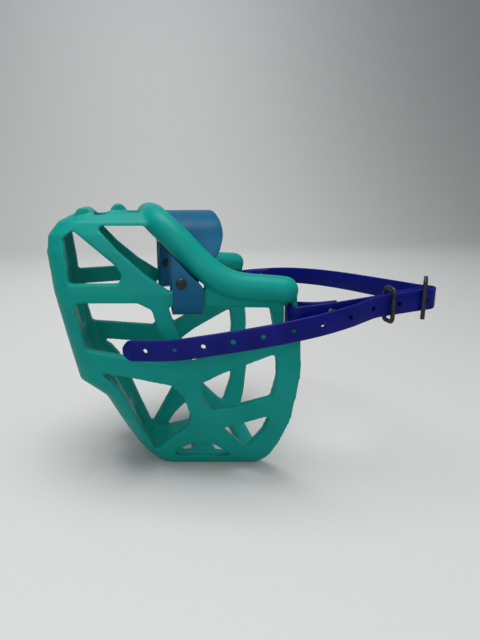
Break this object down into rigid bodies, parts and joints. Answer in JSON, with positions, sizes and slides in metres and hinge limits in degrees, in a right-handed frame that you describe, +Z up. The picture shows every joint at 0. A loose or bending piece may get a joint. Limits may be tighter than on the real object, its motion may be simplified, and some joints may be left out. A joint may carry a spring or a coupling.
{
  "type": "basket muzzle",
  "caption": "Open basket muzzle for a dog: moulded lattice cage with a thick padded rim, a nose band and a buckled, punched neck strap.",
  "frame": {"origin": "middle of the flat bottom of the basket", "axes": "+X from the nose towards the neck, +Z up, the dog's left side towards -Y"},
  "size_m": [0.2118, 0.1492, 0.164],
  "materials": {
    "basket_rubber": "satin",
    "nose_band_vinyl": "satin",
    "neck_strap_vinyl": "satin",
    "black_rivet": "gloss",
    "black_buckle": "satin"
  },
  "bodies": {
    "basket": {"crown_bar_one": "basket_rubber", "crown_bar_two": "basket_rubber", "floor_front": "basket_rubber", "floor_middle": "basket_rubber", "floor_rear": "basket_rubber", "front_brow": "basket_rubber", "front_foot": "basket_rubber", "front_lower": "basket_rubber", "front_middle": "basket_rubber", "front_upper": "basket_rubber", "left_bottom_rail": "basket_rubber", "left_brace_nose": "basket_rubber", "left_brace_nose_lower": "basket_rubber", "left_brace_rear_lower": "basket_rubber", "left_brace_rear_middle": "basket_rubber", "left_brace_rear_upper": "basket_rubber", "left_cross_lower": "basket_rubber", "left_cross_upper": "basket_rubber", "left_front_pillar_lower": "basket_rubber", "left_front_pillar_upper": "basket_rubber", "left_nose_rivet": "black_rivet", "left_rear_pillar_lower": "basket_rubber", "left_rear_pillar_middle": "basket_rubber", "left_rear_pillar_upper": "basket_rubber", "left_rim_rear": "basket_rubber", "left_rim_slope": "basket_rubber", "left_top_rail": "basket_rubber", "left_under_rim": "basket_rubber", "left_upright_lower": "basket_rubber", "left_upright_upper": "basket_rubber", "nose_band": "nose_band_vinyl", "right_bottom_rail": "basket_rubber", "right_brace_nose": "basket_rubber", "right_brace_nose_lower": "basket_rubber", "right_brace_rear_lower": "basket_rubber", "right_brace_rear_middle": "basket_rubber", "right_brace_rear_upper": "basket_rubber", "right_cross_lower": "basket_rubber", "right_cross_upper": "basket_rubber", "right_front_pillar_lower": "basket_rubber", "right_front_pillar_upper": "basket_rubber", "right_nose_rivet": "black_rivet", "right_rear_pillar_lower": "basket_rubber", "right_rear_pillar_middle": "basket_rubber", "right_rear_pillar_upper": "basket_rubber", "right_rim_rear": "basket_rubber", "right_rim_slope": "basket_rubber", "right_top_rail": "basket_rubber", "right_under_rim": "basket_rubber", "right_upright_lower": "basket_rubber", "right_upright_upper": "basket_rubber", "rim_crown": "basket_rubber"},
    "neck_strap": {"near_strap": "neck_strap_vinyl", "long_strap": "neck_strap_vinyl", "left_anchor_rivet": "black_rivet", "right_anchor_rivet": "black_rivet", "buckle_strap_rivet": "black_rivet", "buckle_frame": "black_buckle"},
    "strap_tail": {"strap_tail": "neck_strap_vinyl"},
    "keeper": {"keeper": "black_buckle"}
  },
  "joints": [
    {"name": "neck_strap_tilt", "type": "hinge", "parent": "basket", "child": "neck_strap", "pos_m": [0.0438, 0, 0.104], "axis": [0, 1, 0], "range_deg": [-6, 6]},
    {"name": "tail_flex", "type": "hinge", "parent": "neck_strap", "child": "strap_tail", "pos_m": [0.091, -0.0732, 0.1087], "axis": [0, 0, 1], "range_deg": [0, 25]},
    {"name": "keeper_slide", "type": "slide", "parent": "neck_strap", "child": "keeper", "axis": [0.995, 0, 0.0995], "range_m": [-0.004, 0.004]}
  ]
}
